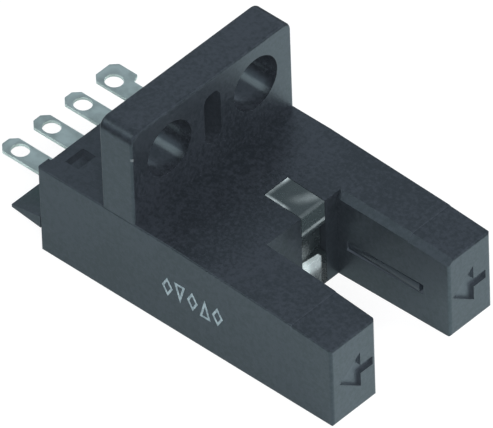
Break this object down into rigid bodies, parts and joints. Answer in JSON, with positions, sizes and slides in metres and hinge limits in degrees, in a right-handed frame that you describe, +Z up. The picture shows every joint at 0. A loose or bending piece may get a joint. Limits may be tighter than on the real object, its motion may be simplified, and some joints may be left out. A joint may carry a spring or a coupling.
{
  "type": "slotted optical switch",
  "caption": "Fork-shaped optical switch: a moulded housing with a sensing slot, an upright mounting flange and flat solder terminals at the rear.",
  "frame": {"origin": "on the bottom face, on the body's centre line, below the front face of the mounting flange", "axes": "+X along the fork to its tips, +Y to the emitter's arm, +Z up from the bottom cover to the flange"},
  "size_m": [0.0247, 0.012, 0.0116],
  "materials": {
    "case_plastic": "fine matte grain",
    "cover_plastic": "matte",
    "tinned_metal": "tinned",
    "clear_plastic": "clear moulded",
    "filter_plastic": "dark glossy infrared filter",
    "board_laminate": "solder mask",
    "package_resin": "moulded epoxy",
    "emitter_resin": "tinted epoxy",
    "chip_ceramic": "glazed ceramic",
    "indicator_resin": "milky diffusing epoxy",
    "solder": "bright solder",
    "marking_ink": "pad-printed pale ink"
  },
  "bodies": {
    "root": {"case": "case_plastic", "bottom_cover": "cover_plastic", "terminal_base": "case_plastic", "terminal_1": "tinned_metal", "terminal_2": "tinned_metal", "terminal_3": "tinned_metal", "terminal_4": "tinned_metal", "light_guide": "clear_plastic", "emitter_window": "filter_plastic", "receiver_window": "filter_plastic", "circuit_board": "board_laminate", "emitter": "emitter_resin", "emitter_leads": "tinned_metal", "receiver": "package_resin", "receiver_leads": "tinned_metal", "indicator_led": "indicator_resin", "output_transistor": "package_resin", "led_resistor": "chip_ceramic", "indicator_resistor": "chip_ceramic", "bypass_capacitor": "chip_ceramic", "protection_diode": "chip_ceramic", "terminal_solder": "solder", "chip_solder": "solder"}
  },
  "joints": []
}
